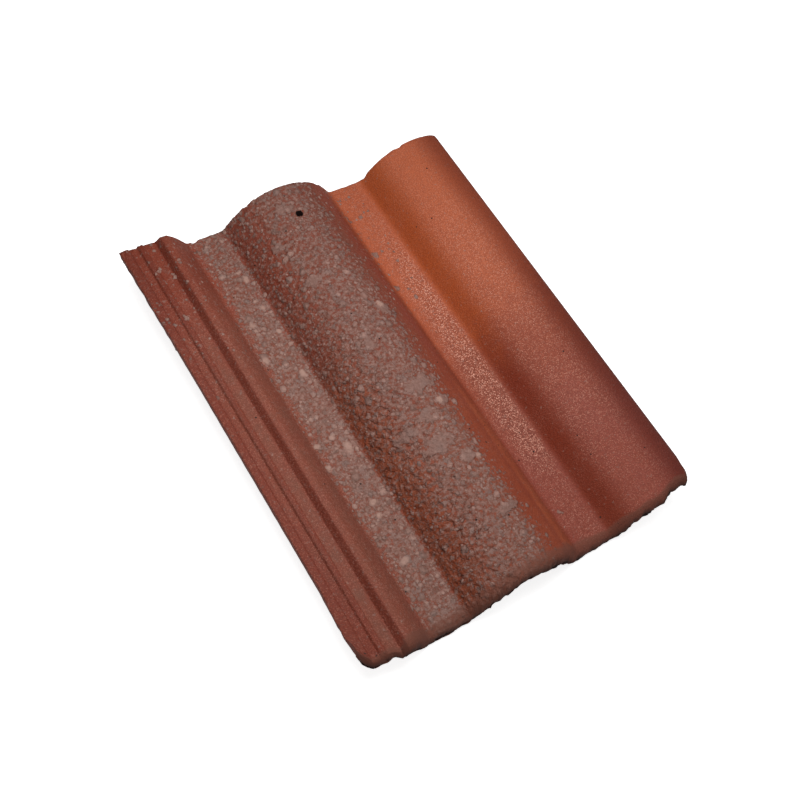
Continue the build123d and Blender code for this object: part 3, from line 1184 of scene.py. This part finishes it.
def trace(corners: list[Corner], pitch: Callable[[float], float]) -> list[Vector]:
    """Evenly spaced points along a line of rounded corners.

    Args:
        corners: The corners in order.
        pitch: Distance between points at a place across the tile.

    Returns:
        The points, from the first corner to the last.
    """
    sharp = [Vector((corner.x, corner.z)) for corner in corners]
    places = [sharp[0]]
    for before, corner, after in zip(sharp, corners[1:-1], sharp[2:]):
        places += rounded(before, corner, after, pitch(corner.x))
    places.append(sharp[-1])
    line = [places[0]]
    for start, end in zip(places, places[1:]):
        if (end - start).length < 3 * HAIR:
            continue
        count = max(1, ceil((end - start).length / pitch((start.x + end.x) / 2) - 0.2))
        line += [start.lerp(end, i / count) for i in range(1, count + 1)]
    return line


def points_of(piece: bpy.types.Object) -> np.ndarray:
    """The points of a piece's mesh.

    Args:
        piece: The piece.

    Returns:
        The points, as rows of three.
    """
    places = np.empty(len(piece.data.vertices) * 3)
    piece.data.vertices.foreach_get("co", places)
    return places.reshape(-1, 3)


def put_points(piece: bpy.types.Object, places: np.ndarray) -> None:
    """Moves the points of a piece's mesh.

    Args:
        piece: The piece.
        places: New places, as rows of three.
    """
    piece.data.vertices.foreach_set("co", places.ravel())
    piece.data.update()


def put_attribute(piece: bpy.types.Object, name: str, values: np.ndarray) -> None:
    """Writes a value or a vector at every point of a piece.

    Args:
        piece: The piece.
        name: The attribute's name.
        values: One number a point, or rows of three.
    """
    vector = values.ndim == 2
    made = piece.data.attributes.new(name, "FLOAT_VECTOR" if vector else "FLOAT", "POINT")
    made.data.foreach_set("vector" if vector else "value", values.astype(np.float32).ravel())


def read_attribute(piece: bpy.types.Object, name: str) -> np.ndarray:
    """The vectors that an attribute holds.

    Args:
        piece: The piece.
        name: The attribute's name.

    Returns:
        The vectors, as rows of three.
    """
    values = np.empty(len(piece.data.vertices) * 3, np.float32)
    piece.data.attributes[name].data.foreach_get("vector", values)
    return values.reshape(-1, 3).astype(float)


class Hand:
    """The operators that shape a mesh by hand, with what they act on picked by place."""

    def __init__(self, piece: bpy.types.Object) -> None:
        """Takes the piece to work on.

        Args:
            piece: Object whose mesh is shaped.
        """
        self.piece = piece

    @staticmethod
    def put_down() -> None:
        """Deselects everything."""
        bpy.ops.object.select_all(action="DESELECT")

    @staticmethod
    def take(piece: bpy.types.Object) -> None:
        """Picks one piece alone, as the active one.

        Args:
            piece: The piece.
        """
        Hand.put_down()
        piece.select_set(True)
        bpy.context.view_layer.objects.active = piece

    @staticmethod
    def apply(piece: bpy.types.Object, modifier: bpy.types.Modifier) -> None:
        """Works a modifier into a piece's mesh."""
        Hand.take(piece)
        bpy.ops.object.modifier_apply(modifier=modifier.name)

    def __enter__(self) -> "Hand":
        """Opens the piece's mesh for editing.

        Returns:
            The hand itself.
        """
        self.take(self.piece)
        bpy.ops.object.mode_set(mode="EDIT")
        return self

    def __exit__(self, *_: object) -> None:
        """Closes the mesh."""
        bpy.ops.object.mode_set(mode="OBJECT")

    def pick(self, kind: str, test: Callable[..., bool]) -> None:
        """Selects faces or edges.

        Args:
            kind: FACE or EDGE.
            test: Whether a face or an edge is wanted.
        """
        bpy.ops.mesh.select_mode(type=kind)
        bpy.ops.mesh.select_all(action="DESELECT")
        mesh = bmesh.from_edit_mesh(self.piece.data)
        for item in mesh.faces if kind == "FACE" else mesh.edges:
            item.select = test(item)
        mesh.select_flush_mode()
        bmesh.update_edit_mesh(self.piece.data)

    def pick_faces(self, test: Callable[[bmesh.types.BMFace], bool]) -> None:
        """Selects the faces that pass a test."""
        self.pick("FACE", test)

    def pick_edges(self, test: Callable[[Vector, Vector], bool]) -> None:
        """Selects the edges whose two end points pass a test."""
        self.pick("EDGE", lambda edge: test(edge.verts[0].co, edge.verts[1].co))

    @staticmethod
    def extrude(step: tuple[float, float, float]) -> None:
        """Extrudes what is picked by a step."""
        bpy.ops.mesh.extrude_region_move(TRANSFORM_OT_translate={"value": step})

    @staticmethod
    def slice(place: tuple[float, float, float], normal: tuple[float, float, float]) -> None:
        """Cuts what is picked along a plane."""
        bpy.ops.mesh.bisect(plane_co=place, plane_no=normal)


@dataclass
class TileBody:
    """The whole tile as one closed mesh, drawn lying flat and then laid on its nibs and bar."""

    section: Section = field(default_factory=Section)
    length: float = 0.420
    rows: int = 30
    top_cuts: int = 9
    tail_cuts: int = 7
    face_cuts: int = 3
    bar_places: tuple[float, float] = (0.012, 0.044)
    bar_width: float = 0.006
    bar_drop: float = 0.0035
    nib_width: float = 0.038
    nib_drop: float = 0.013
    nib_root: float = 0.018
    nib_tip: float = 0.012
    nib_from_head: float = 0.030
    nail_radius: float = 0.0031
    nail_foot: float = 0.9
    nail_mouth: float = 1.25
    nail_ragged: float = 0.10
    nail_sides: int = 20
    nail_place: tuple[float, float] = (0.1558, 0.3854)
    nose_radius: float = 0.009
    head_radius: float = 0.0015
    lock_setback: float = 0.004
    lock_slant: float = 0.007
    corner_radius: float = 0.020
    tail_cut: float = 0.0044
    tip_cut: float = 0.0050
    least_edge: float = 0.0028
    smooth_angle: float = radians(40.0)
    marked_depth: float = 0.25
    spot_height: float = 0.9
    plan: SlurryPlan = field(default_factory=SlurryPlan)
    finish: SlurriedConcrete = field(default_factory=SlurriedConcrete)

    def __post_init__(self) -> None:
        """Traces the section and works out how the tile lies."""
        self.top_line = trace(self.section.upper(), self.section.pitch)
        self.under_line = trace(self.section.lower(), lambda x: self.section.under_pitch)
        self.top_keys = {self.key(p.x, p.y) for p in self.top_line}
        nib_z = -self.section.wall - self.nib_drop
        bar_z = -self.section.wall - self.bar_drop
        self.nib_y = self.length - self.nib_from_head
        self.lie = atan((bar_z - nib_z) / (self.nib_y - self.bar_places[0]))
        self.bar_z = bar_z

    @staticmethod
    def key(x: float, z: float) -> tuple[int, int]:
        """A column's place as whole hundredths of a millimetre."""
        return (round(x * 1e5), round(z * 1e5))

    def build(self) -> bpy.types.Object:
        """Makes the finished mesh.

        Returns:
            The tile as one object at the origin, with its place in its mesh.
        """
        piece = self.extrude_section()
        self.cut_rows(piece)
        self.add_bars_and_nibs(piece)
        self.refine(piece)
        self.break_end_faces(piece)
        self.drill(piece)
        self.mark(piece)
        self.shape_ends(piece)
        self.raise_crust(piece)
        self.lay_down(piece)
        self.dress(piece)
        return piece

    def extrude_section(self) -> bpy.types.Object:
        """Draws the section point by point and extrudes it up the tile.

        Returns:
            The extruded tile.
        """
        Hand.put_down()
        loop = self.top_line + self.under_line[1:-1]
        start = loop[0]
        bpy.ops.mesh.primitive_plane_add(size=self.section.wall, location=(start.x, 0.0, start.y))
        piece = bpy.context.object
        piece.name = "tile_body"
        bpy.ops.object.transform_apply(location=True)
        with Hand(piece) as hand:
            bpy.ops.mesh.select_all(action="SELECT")
            bpy.ops.mesh.merge(type="CENTER")
            for here, there in zip(loop, loop[1:] + [start]):
                step = there - here
                hand.extrude((step.x, 0.0, step.y))
            bpy.ops.mesh.select_all(action="SELECT")
            bpy.ops.mesh.remove_doubles(threshold=HAIR)
            bpy.ops.mesh.edge_face_add()
            hand.extrude((0.0, self.length, 0.0))
            bpy.ops.mesh.select_all(action="SELECT")
            bpy.ops.mesh.normals_make_consistent(inside=False)
        return piece

    def cut_rows(self, piece: bpy.types.Object) -> None:
        """Cuts the tile into even rows up its length.

        Args:
            piece: The tile.
        """
        with Hand(piece) as hand:
            hand.pick_edges(lambda a, b: abs(a.y - b.y) > self.length / 2)
            bpy.ops.mesh.subdivide(number_cuts=self.rows - 1)

    def add_bars_and_nibs(self, piece: bpy.types.Object) -> None:
        """Extrudes the weather bars and nibs down from the underside.

        Args:
            piece: The tile.
        """
        section = self.section
        crown_end = section.crown_end
        left_end = section.on_arc(section.inner_radius, section.rolls[0], section.meet_angle).x

        def under(face: bmesh.types.BMFace) -> bool:
            """Whether a face belongs to the underside.

            Args:
                face: The face.

            Returns:
                True for a face of the underside, bars and nibs with it.
            """
            if abs(face.normal.y) > 0.5:
                return False
            return not all(self.key(v.co.x, v.co.z) in self.top_keys for v in face.verts)

        with Hand(piece) as hand:
            planes = [(0.0, y, 0.0) for place in self.bar_places for y in (place, place + self.bar_width)]
            planes += [(0.0, self.nib_y, 0.0), (0.0, self.nib_y + self.nib_root, 0.0)]
            for place in planes:
                hand.pick_faces(under)
                hand.slice(place, (0.0, 1.0, 0.0))
            for middle in section.pans:
                for side in Side:
                    hand.pick_faces(lambda f: under(f) and f.calc_center_median().y > self.nib_y - HAIR)
                    hand.slice((middle + side.value * self.nib_width / 2, 0.0, 0.0), (1.0, 0.0, 0.0))
            for place in self.bar_places:
                hand.pick_faces(
                    lambda f: under(f)
                    and place < f.calc_center_median().y < place + self.bar_width
                    and left_end < f.calc_center_median().x < crown_end
                )
                hand.extrude((0.0, 0.0, 0.0))
                bpy.ops.transform.shrink_fatten(value=self.bar_drop, use_even_offset=True)
            for middle in section.pans:
                hand.pick_faces(
                    lambda f: under(f)
                    and abs(f.calc_center_median().x - middle) < self.nib_width / 2
                    and self.nib_y < f.calc_center_median().y < self.nib_y + self.nib_root
                )
                hand.extrude((0.0, 0.0, -self.nib_drop))
            tip = -section.wall - self.nib_drop
            hand.pick_edges(lambda a, b: max(a.z, b.z) < tip + HAIR)
            bpy.ops.transform.resize(
                value=(1.0, self.nib_tip / self.nib_root, 1.0), center_override=(0.0, self.nib_y, 0.0)
            )

    def refine(self, piece: bpy.types.Object) -> None:
        """Cuts the upper face, and the underside next to the tail, into fine rows.

        Args:
            piece: The tile.
        """
        first_bar = self.bar_places[0]

        def lengthwise(a: Vector, b: Vector) -> bool:
            """Whether an edge runs up the tile."""
            return abs(a.x - b.x) + abs(a.z - b.z) < HAIR

        with Hand(piece) as hand:
            hand.pick_edges(lambda a, b: lengthwise(a, b) and self.key(a.x, a.z) in self.top_keys)
            bpy.ops.mesh.subdivide(number_cuts=self.top_cuts)
            hand.pick_edges(
                lambda a, b: lengthwise(a, b)
                and self.key(a.x, a.z) not in self.top_keys
                and max(a.y, b.y) < first_bar + HAIR
            )
            bpy.ops.mesh.subdivide(number_cuts=self.tail_cuts)

    def break_end_faces(self, piece: bpy.types.Object) -> None:
        """Splits the two end faces into small faces that can be roughened.

        Args:
            piece: The tile.
        """
        for end in (0.0, self.length):
            with Hand(piece) as hand:
                hand.pick_faces(lambda f: all(abs(v.co.y - end) < HAIR for v in f.verts))
                bpy.ops.mesh.quads_convert_to_tris(quad_method="BEAUTY", ngon_method="BEAUTY")
        with Hand(piece) as hand:
            hand.pick_edges(
                lambda a, b: max(a.y, b.y) < HAIR
                and (self.key(a.x, a.z) in self.top_keys) != (self.key(b.x, b.z) in self.top_keys)
            )
            bpy.ops.mesh.subdivide(number_cuts=self.face_cuts)

    def drill(self, piece: bpy.types.Object) -> None:
        """Drills the nail hole, a little wider and chipped at its upper rim.

        Args:
            piece: The tile.
        """
        Hand.put_down()
        depth = self.section.roll_height * 2
        bpy.ops.mesh.primitive_cone_add(
            vertices=self.nail_sides,
            radius1=self.nail_radius * self.nail_foot,
            radius2=self.nail_radius * self.nail_mouth,
            depth=depth,
            location=(*self.nail_place, self.section.roll_height - self.section.wall / 2),
        )
        drill = bpy.context.object
        bpy.ops.object.transform_apply(location=True)
        places = points_of(drill)
        axis = np.array([*self.nail_place, 0.0])
        ragged = 1.0 + self.nail_ragged * waver(places, 0.003, 21.0)
        around = axis[:2] + (places - axis)[:, :2] * ragged[:, None]
        put_points(drill, np.column_stack((around, places[:, 2])))
        cut = piece.modifiers.new("nail_hole", "BOOLEAN")
        cut.object = drill
        cut.operation = "DIFFERENCE"
        cut.solver = "EXACT"
        Hand.apply(piece, cut)
        bpy.data.objects.remove(drill)

    def mark(self, piece: bpy.types.Object) -> None:
        """Keeps each point's drawn place, and its place on the unrolled surface, as attributes.

        Args:
            piece: The tile, still as it was drawn.
        """
        steps = [(b - a).length for a, b in zip(self.top_line, self.top_line[1:])]
        lengths = np.concatenate(([0.0], np.cumsum(steps)))
        runs = {self.key(p.x, p.y): run for p, run in zip(self.top_line, lengths)}
        drawn = points_of(piece)
        x, y, z = drawn.T
        upper, under = self.top_height(x), self.under_height(x)
        share = (z - under) / np.maximum(upper - under, HAIR)
        on_top = np.array([self.key(px, pz) in runs for px, pz in zip(x, z)]) | (share > LOWER_SKIN)
        across = np.interp(x, [p.x for p in self.top_line], lengths)
        keyed = [runs.get(self.key(px, pz), near) for px, pz, near in zip(x, z, across)]
        below = np.clip(under - z, 0.0, None)
        depth = np.where(on_top, 0.0, np.clip(1.0 - share, 0.0, 1.0))
        laid = np.column_stack((np.array(keyed) + below, y + below, depth * self.section.wall))
        put_attribute(piece, "laid", laid)
        top = depth < self.marked_depth
        plan = self.plan
        pale = plan.spread(drawn, plan.pale_spots)
        thick = plan.spread(drawn, plan.crust_blotches + plan.stray_blotches)
        values = {
            "cover": np.where(top, plan.cover(drawn), 0.0),
            "rift": np.where(top, plan.rift(drawn), 0.0),
            "patch": np.where(top, np.maximum(thick, self.spot_height * pale), 0.0),
            "pale": np.where(top, pale, 0.0),
            "warm": plan.warmth(drawn),
            "crease": plan.crease(drawn),
            "sanded": plan.sanded(drawn),
            "painted_shade_and_tone": plan.painted_shade_and_tone(drawn),
            "veil": plan.veil(drawn),
            "depth": depth,
            "end_shade": plan.end_shade(drawn, depth, self.nail_place),
        }
        for name, value in values.items():
            put_attribute(piece, name, value)

    def top_height(self, x: np.ndarray) -> np.ndarray:
        """Height of the upper face at places across the tile."""
        return np.interp(x, [p.x for p in self.top_line], [p.y for p in self.top_line])

    def under_height(self, x: np.ndarray) -> np.ndarray:
        """Height of the underside at places across the tile."""
        line = sorted((point.x, point.y) for point in self.under_line)
        return np.interp(x, [p[0] for p in line], [p[1] for p in line])

    def steepness(self, x: np.ndarray) -> np.ndarray:
        """How much longer than its depth a cut square to the upper face is.

        Args:
            x: Places across the tile.

        Returns:
            One value for each place, 1 on level ground.
        """
        section = self.section
        nearest = np.min([np.abs(x - centre) for centre in section.rolls], axis=0)
        angle = np.arcsin(np.clip(nearest / section.roll_radius, 0.0, sin(section.flank_angle)))
        pan = np.min([np.abs(x - middle) for middle in section.pans], axis=0)
        flank_foot = section.roll_pitch / 2 - section.foot(section.roll_radius, 0, Side.RIGHT, 0)[0]
        level = smooth(flank_foot + 0.006, flank_foot - 0.003, pan)
        return 1.0 / np.cos(angle * (1.0 - level))

    def shape_ends(self, piece: bpy.types.Object) -> None:
        """Rounds the nose, the head's arris and the tail's corners, and breaks the tail's lower edge.

        Args:
            piece: The tile with its drawn places marked.
        """
        section = self.section
        drawn = points_of(piece)
        x, y, z = drawn.T.copy()
        depth_share = read_attribute(piece, "laid")[:, 2] / section.wall
        top = depth_share < UPPER_SKIN
        inner = (depth_share > UPPER_SKIN) & (depth_share < LOWER_SKIN) & (y < HAIR)
        under = self.under_height(x)
        share = np.clip((z - under) / (self.top_height(x) - under), 0.0, 1.0)
        in_lock = x < section.ridge_foot + HAIR
        depth = np.clip(self.nose_radius - y, 0.0, None)
        drop = self.nose_radius - np.sqrt(self.nose_radius**2 - depth**2)
        surface = np.where(inner, self.top_height(x), z)
        lowered = surface - drop * np.where(x < section.ridge_end, 1.0, self.steepness(x))
        lowered = np.where(in_lock, np.minimum(surface, section.rib_top - drop), lowered)
        lowered = np.minimum(surface, np.maximum(lowered, under + self.least_edge))
        z = np.where(top & (drop > 0.0), lowered, z)
        z = np.where(inner, under + share * (lowered - under), z)
        head = np.clip(y - (self.length - self.head_radius), 0.0, None)
        z -= np.where(top, self.head_radius - np.sqrt(self.head_radius**2 - head**2), 0.0)
        from_side = np.minimum(x, section.width - x)
        inset = np.clip(self.corner_radius - from_side, 0.0, None)
        corner = self.corner_radius - np.sqrt(self.corner_radius**2 - inset**2)
        chamfer = self.tail_cut * smooth(section.width - 0.040, section.width - 0.026, x)
        chamfer = chamfer + self.tip_cut * smooth(section.width - 0.009, section.width + 0.001, x)
        corner = np.where(x > section.width / 2, chamfer, corner)
        setback = self.lock_setback * smooth(section.ridge_foot, section.ridge_foot - self.lock_slant, x)
        start = np.maximum(setback, corner)
        reach = 3.0 * self.corner_radius
        y += start * np.clip(1.0 - y / reach, 0.0, None)
        put_points(piece, np.column_stack((x, y, z)) + self.wear(drawn, top, share))

    def wear(self, drawn: np.ndarray, top: np.ndarray, share: np.ndarray) -> np.ndarray:
        """The ragged tail edge, the notched head cut and the left edge's flash, as shifts of the points.

        Args:
            drawn: Places on the drawn tile.
            top: Which points are on the upper face.
            share: Height between the underside, 0, and the upper face, 1.

        Returns:
            Shifts, as rows of three.
        """
        x, y = drawn[:, 0], drawn[:, 1]
        rough = 1.0 + 0.8 * smooth(0.24, 0.28, x)
        torn = 0.0014 * waver(drawn, 0.012, 2.0) + 0.0012 * waver(drawn, 0.0048, 4.0)
        edge = smooth(0.0045, 0.0, y) * np.where(top, smooth(0.004, 0.0, y), 1.0)
        hollow = 0.0012 * smooth(0.036, 0.050, x) * smooth(0.170, 0.145, x)
        along = edge * (rough * torn + hollow)
        down = rough * smooth(0.005, 0.0, y) * (1.0 - share) * 0.0017 * waver(drawn, 0.007, 6.0)
        head = smooth(self.length - 0.004, self.length, y)
        notch = np.clip(waver(drawn, 0.007, 8.0) - 0.15, 0.0, None)
        along = along + head * (0.0008 - 0.0022 * notch + 0.0020 * smooth(0.036, 0.026, x))
        down = down - np.where(top, head * 0.0014 * notch, 0.0)
        flash = 0.0004 + 0.0014 * smooth(0.27, 0.40, y)
        flash = flash + 0.0016 * smooth(0.08, 0.04, y) * smooth(0.005, 0.025, y)
        flash = flash * smooth(0.0040, 0.0, x)
        flash = flash * (1.0 + 0.6 * waver(drawn, 0.008, 10.0))
        dent = smooth(0.324, 0.332, x) * smooth(0.024, 0.010, y)
        return np.column_stack((-0.0012 * dent - flash, along, down))

    def raise_crust(self, piece: bpy.types.Object) -> None:
        """Raises the slurry's clots and patches from the surface.

        Args:
            piece: The tile with its slurry marked.
        """
        tree = bpy.data.node_groups.new("crust_relief", "GeometryNodeTree")
        for in_out in ("INPUT", "OUTPUT"):
            tree.interface.new_socket("Geometry", in_out=in_out, socket_type="NodeSocketGeometry")
        bench = Bench(tree)

        laid = bench.marked("laid", "FLOAT_VECTOR")
        steering = [bench.marked(name) for name in ("cover", "rift", "patch")]
        crust = self.finish.pattern.lay(bench, laid, *steering)
        lift = bench.scaled(bench.add("GeometryNodeInputNormal").outputs[0], crust.height)
        move = bench.add("GeometryNodeSetPosition")
        bench.join(bench.add("NodeGroupInput").outputs[0], move.inputs["Geometry"])
        bench.join(lift, move.inputs["Offset"])
        bench.join(move.outputs[0], bench.add("NodeGroupOutput").inputs[0])
        relief = piece.modifiers.new("crust_relief", "NODES")
        relief.node_group = tree
        Hand.apply(piece, relief)

    def dress(self, piece: bpy.types.Object) -> None:
        """Gives the tile its finish and smooth shading.

        Args:
            piece: The tile.
        """
        piece.data.materials.clear()
        piece.data.materials.append(self.finish.material())
        Hand.take(piece)
        bpy.ops.object.shade_smooth_by_angle(angle=self.smooth_angle)

    def placing(self) -> Matrix:
        """The turn and shift from the drawn tile to the tile as it lies on the floor.

        Returns:
            The matrix that does both.
        """
        section = self.section
        place = Vector(
            (
                CAD_LOW.x,
                CAD_HIGH.y - self.length * cos(self.lie) - section.wall * sin(self.lie),
                -self.bar_z * cos(self.lie) - self.bar_places[0] * sin(self.lie),
            )
        )
        return Matrix.Translation(place) @ Matrix.Rotation(self.lie, 4, "X")

    def lay_down(self, piece: bpy.types.Object) -> None:
        """Lays the tile on its nibs and first bar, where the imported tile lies.

        Args:
            piece: The tile.
        """
        piece.matrix_world = self.placing()
        Hand.take(piece)
        bpy.ops.object.transform_apply(location=True, rotation=True, scale=True)


@dataclass(frozen=True)
class PhotoCamera:
    """The photograph's point of view, in the drawn tile's own frame."""

    azimuth: float = radians(-50.7567)
    elevation: float = radians(59.4735)
    roll: float = radians(21.3392)
    distance: float = 0.919307
    target: tuple[float, float, float] = (0.1535219, 0.1947436, 0.0)
    lens: float = 47.2261
    sensor: float = 36.0

    def place(self, placing: Matrix) -> None:
        """Sets up the scene's camera.

        Args:
            placing: The turn and shift from the drawn tile to the one on the floor.
        """
        flat = cos(self.elevation)
        back = Vector((sin(self.azimuth) * flat, -cos(self.azimuth) * flat, sin(self.elevation)))
        level = Vector((cos(self.azimuth), sin(self.azimuth), 0.0))
        upright = back.cross(level)
        right = level * cos(self.roll) + upright * sin(self.roll)
        up = upright * cos(self.roll) - level * sin(self.roll)
        turn = Matrix((right, up, back)).transposed().to_4x4()
        stand = Matrix.Translation(Vector(self.target) + back * self.distance)
        data = bpy.data.cameras.new("photo_camera")
        data.lens = self.lens
        data.sensor_width = self.sensor
        camera = bpy.data.objects.new("photo_camera", data)
        camera.matrix_world = placing @ stand @ turn
        bpy.context.scene.collection.objects.link(camera)
        bpy.context.scene.camera = camera


@dataclass(frozen=True)
class Lamp:
    """A soft square lamp."""

    name: str
    place: tuple[float, float, float]
    aim: tuple[float, float, float]
    size: float
    power: float

    def hang(self) -> None:
        """Hangs the lamp in its place, turned to what it is aimed at."""
        light = bpy.data.lights.new(self.name, "AREA")
        light.size = self.size
        light.energy = self.power
        lamp = bpy.data.objects.new(self.name, light)
        place = Vector(self.place)
        turn = (Vector(self.aim) - place).to_track_quat("-Z", "Y")
        lamp.matrix_world = Matrix.Translation(place) @ turn.to_matrix().to_4x4()
        bpy.context.scene.collection.objects.link(lamp)


@dataclass(frozen=True)
class Studio:
    """Pale floor, one large lamp over the head side, and a weak even light from all round."""

    floor_size: float = 8.0
    floor_white: float = 0.8
    glow: float = 0.8
    fill: float = 0.24
    lamps: tuple[Lamp, ...] = (
        Lamp("key", (-0.035, 0.015, 0.56), (0.0, 0.0, 0.0), 0.45, 3.2),
    )

    def build(self) -> None:
        """Makes the floor, the lamps and the world."""
        for lamp in self.lamps:
            lamp.hang()
        world = bpy.data.worlds.new("studio")
        bpy.context.scene.world = world
        world.use_nodes = True
        bench = Bench(world.node_tree)
        surround = bench.tree.nodes["Background"]
        surround.inputs["Color"].default_value = (1.0, 1.0, 1.0, 1.0)
        seen = bench.add("ShaderNodeLightPath").outputs["Is Camera Ray"]
        bench.join(bench.blend(seen, self.fill, 1.0), surround.inputs["Strength"])
        Hand.put_down()
        bpy.ops.mesh.primitive_plane_add(size=self.floor_size)
        floor = bpy.context.object
        floor.name = "floor"
        floor.data.materials.append(self.floor_paint())

    def floor_paint(self) -> bpy.types.Material:
        """White floor that the camera sees a little brighter than it is lit, with its shadows.

        Returns:
            The floor's material.
        """
        material = bpy.data.materials.new("floor_paint")
        material.use_nodes = True
        bench = Bench(material.node_tree)
        shader = bench.tree.nodes["Principled BSDF"]
        shader.inputs["Base Color"].default_value = (*([self.floor_white] * 3), 1.0)
        shader.inputs["Roughness"].default_value = 1.0
        shader.inputs["Specular IOR Level"].default_value = 0.0
        shader.inputs["Emission Color"].default_value = (1.0, 1.0, 1.0, 1.0)
        seen = bench.add("ShaderNodeLightPath").outputs["Is Camera Ray"]
        bench.join(bench.maths("MULTIPLY", seen, self.glow), shader.inputs["Emission Strength"])
        return material


def main() -> None:
    """Builds, places and lights the tile."""
    logging.basicConfig(level=logging.INFO, format="%(name)s: %(message)s")
    scene = bpy.context.scene
    scene.view_settings.view_transform = "Standard"
    body = TileBody()
    piece = body.build()
    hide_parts(NODE)
    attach(piece, BODY)
    log.info("%s: %d faces", piece.name, len(piece.data.polygons))
    PhotoCamera().place(body.placing())
    Studio().build()


if __name__ == "__main__":
    main()
